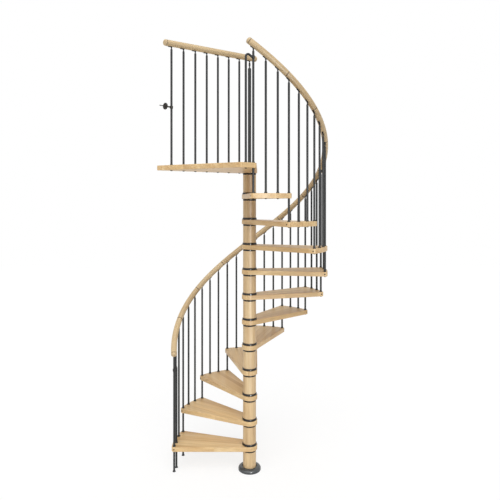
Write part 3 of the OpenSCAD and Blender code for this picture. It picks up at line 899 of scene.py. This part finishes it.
def wall_screw(spot, ahead):
    """The screw into the wall, with a real thread and a point."""
    length, core_r, ridge, pitch, tip, shank, sides = 0.062, 0.0026, 0.0009, 0.0024, 0.010, 0.006, 24
    place = facing(ahead, spot + ahead * WALL_REACH)
    rows, rings = 12 * round(length / pitch), []
    for j in range(rows):
        z = length * j / rows
        taper = min(1.0, (length - z) / tip)
        ring = []
        for s in range(sides):
            phase = (z / pitch - s / sides) % 1.0
            crest = max(0.0, 1 - abs(phase - 0.5) * 4) if z > shank else 0.0
            ring.append(place @ polar((core_r + ridge * crest) * taper, 2 * pi * s / sides, z))
        rings.append(ring)
    shape = Shape()
    made = [[shape.vert(p) for p in ring] for ring in rings]
    made.append([shape.vert(place @ Vector((0, 0, length)))])
    shape.skin([[shape.vert(place @ Vector((0, 0, 0)))]] + made)
    piece("coach_screw", shape, blacked, ["wall_screw"], smooth=radians(60))


# The stair ----------------------------------------------------------------------------

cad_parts["tie_rod"].data.materials.clear()
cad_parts["tie_rod"].data.materials.append(zinc)

base_plate()
sleeves()
collars()
for number in range(1, TREADS + 1):
    tread(number)
    handrail(number)
landing()
edge_screws()
balusters()
cones()
cap_nuts()
rail_brackets()
rail_caps(landing_rail())
landing_post()
hoops()
hoop_ties()
floor_legs()
wall_screw(*wall_bracket())

# Stage: floor, light and camera -------------------------------------------------------


def seen_rays(tree):
    """1 for camera, glossy and transmission rays: the rays that show the background."""
    path = tree.nodes.new("ShaderNodeLightPath")
    total = path.outputs["Is Camera Ray"]
    for kind in ("Is Glossy Ray", "Is Transmission Ray"):
        both = tree.nodes.new("ShaderNodeMath")
        both.operation = "MAXIMUM"
        tree.links.new(total, both.inputs[0])
        tree.links.new(path.outputs[kind], both.inputs[1])
        total = both.outputs[0]
    return total


def white_world():
    """A world that looks white and lights the stair at half that strength, a little warm."""
    world = bpy.data.worlds.new("studio")
    world.use_nodes = True
    bpy.context.scene.world = world
    tree = world.node_tree
    light = tree.nodes["Background"]
    light.inputs[0].default_value = (1.0, 0.99, 0.975, 1.0)
    light.inputs[1].default_value = 0.50
    seen = tree.nodes.new("ShaderNodeBackground")
    seen.inputs[0].default_value = (1, 1, 1, 1)
    seen.inputs[1].default_value = 1.0
    mix = tree.nodes.new("ShaderNodeMixShader")
    tree.links.new(seen_rays(tree), mix.inputs[0])
    tree.links.new(light.outputs[0], mix.inputs[1])
    tree.links.new(seen.outputs[0], mix.inputs[2])
    tree.links.new(mix.outputs[0], tree.nodes["World Output"].inputs["Surface"])


def pale_floor():
    """A white floor that shows as the background, with the stair's soft shadow on it."""
    reach, below, glow_level, shade_level = 14.0, 0.0005, 0.79, 0.20
    bm = bmesh.new()
    bmesh.ops.create_grid(bm, x_segments=8, y_segments=8, size=reach)
    mesh = bpy.data.meshes.new("floor")
    bm.to_mesh(mesh)
    bm.free()
    floor = bpy.data.objects.new("floor", mesh)
    floor.location.z = -below
    bpy.context.scene.collection.objects.link(floor)
    material = bpy.data.materials.new("floor_white")
    material.use_nodes = True
    tree = material.node_tree
    plain = tree.nodes["Principled BSDF"]
    plain.inputs["Base Color"].default_value = grey(0.82)
    plain.inputs["Roughness"].default_value = 0.9
    plain.inputs["Specular IOR Level"].default_value = 0.0
    glow = tree.nodes.new("ShaderNodeEmission")
    glow.inputs["Strength"].default_value = glow_level
    shade = tree.nodes.new("ShaderNodeBsdfDiffuse")
    shade.inputs["Color"].default_value = grey(shade_level)
    seen = tree.nodes.new("ShaderNodeAddShader")
    tree.links.new(glow.outputs[0], seen.inputs[0])
    tree.links.new(shade.outputs[0], seen.inputs[1])
    mix = tree.nodes.new("ShaderNodeMixShader")
    tree.links.new(seen_rays(tree), mix.inputs[0])
    tree.links.new(plain.outputs[0], mix.inputs[1])
    tree.links.new(seen.outputs[0], mix.inputs[2])
    tree.links.new(mix.outputs[0], tree.nodes["Material Output"].inputs["Surface"])
    floor.data.materials.append(material)


def strip_light(name, place, target, size_x, size_y, power):
    """A tall narrow light that shows only as a streak in gloss and lights no matt surface."""
    light = bpy.data.lights.new(name, "AREA")
    light.shape = "RECTANGLE"
    light.size, light.size_y, light.energy = size_x, size_y, power
    obj = bpy.data.objects.new(name, light)
    obj.location = place
    obj.rotation_euler = (Vector(target) - Vector(place)).to_track_quat("-Z", "Y").to_euler()
    obj.visible_diffuse = False
    bpy.context.scene.collection.objects.link(obj)


def sky_light(name, tilt, strength):
    """A wide soft sun, as strong at the landing as at the floor."""
    light = bpy.data.lights.new(name, "SUN")
    light.energy, light.angle = strength, radians(50)
    obj = bpy.data.objects.new(name, light)
    obj.rotation_euler = tilt
    bpy.context.scene.collection.objects.link(obj)


def camera():
    """A level camera in front of the stair, shifted so that the whole stair is in the frame."""
    data = bpy.data.cameras.new("camera")
    data.sensor_width = 36.0
    data.lens = 35.82
    data.shift_x, data.shift_y = 0.0009, -0.0941
    obj = bpy.data.objects.new("camera", data)
    obj.location = (0.0, -4.511, 2.4102)
    obj.rotation_euler = (pi / 2, 0, 0)
    bpy.context.scene.collection.objects.link(obj)
    bpy.context.scene.camera = obj


white_world()
pale_floor()
sky_light("overhead", tilt=(radians(15), radians(6), 0), strength=0.75)
sky_light("front_right", tilt=(radians(50), 0, radians(18)), strength=1.05)
sky_light("front_left", tilt=(radians(50), 0, radians(-30)), strength=0.85)
strip_light("front_strip", place=(1.82, -5.6, 1.6), target=(0, 0, 1.6), size_x=0.25, size_y=3.8,
            power=330)
camera()
bpy.context.scene.view_settings.view_transform = "Standard"
